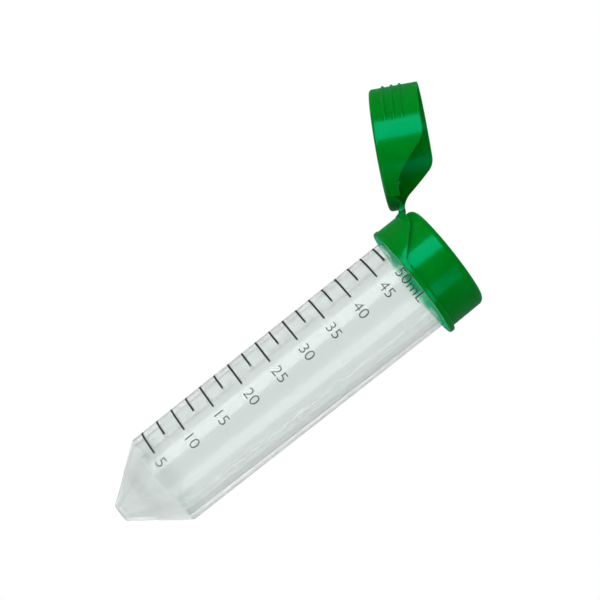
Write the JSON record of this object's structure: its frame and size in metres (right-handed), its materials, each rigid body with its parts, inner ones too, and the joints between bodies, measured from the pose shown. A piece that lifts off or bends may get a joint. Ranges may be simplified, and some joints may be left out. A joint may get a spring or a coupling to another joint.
{
  "type": "conical test tube with flip-top screw cap",
  "caption": "Clear conical-bottom test tube with a printed volume scale and a green screw cap whose hinged flip-top lid stands open.",
  "frame": {"origin": "centre of the flat end of the tube's conical tip", "axes": "+Z along the tube, from the tip to the cap; -X from the tube's axis to the lid's hinge; the tube stands upright"},
  "size_m": [0.0677, 0.0355, 0.14],
  "materials": {
    "clear_polypropylene": "clear, slightly milky moulded polypropylene",
    "black_ink": "satin printing ink",
    "green_polyethylene": "glossy moulded polyethylene"
  },
  "bodies": {
    "tube": {"tube": "clear_polypropylene", "tube_thread": "clear_polypropylene", "scale_long_marks": "black_ink", "scale_short_marks": "black_ink"},
    "seal": {"bore_seal": "green_polyethylene"},
    "cap": {"cap_ring": "green_polyethylene", "cap_thread": "green_polyethylene", "cap_deck": "green_polyethylene", "cap_back_wall": "green_polyethylene", "hinge_film": "green_polyethylene"},
    "lid": {"lid_shell": "green_polyethylene", "lid_plug": "green_polyethylene", "lid_grip_ribs": "green_polyethylene"}
  },
  "joints": [
    {"name": "cap_lift", "type": "slide", "parent": "tube", "child": "seal", "axis": [0, 0, 1], "range_m": [0, 0.0048]},
    {"name": "cap_turn", "type": "hinge", "parent": "seal", "child": "cap", "pos_m": [0, 0, 0.109], "axis": [0, 0, 1], "range_deg": [0, 540]},
    {"name": "lid_hinge", "type": "hinge", "parent": "cap", "child": "lid", "pos_m": [-0.0179, 0, 0.11425], "axis": [-0.0205, -0.9996, -0.0213], "range_deg": [-150.5, 29.5], "deforming": ["hinge_film"]}
  ],
  "couplings": [
    {"joint": "cap_lift", "follows": "cap_turn", "m_per_rad": 0.00050929}
  ]
}
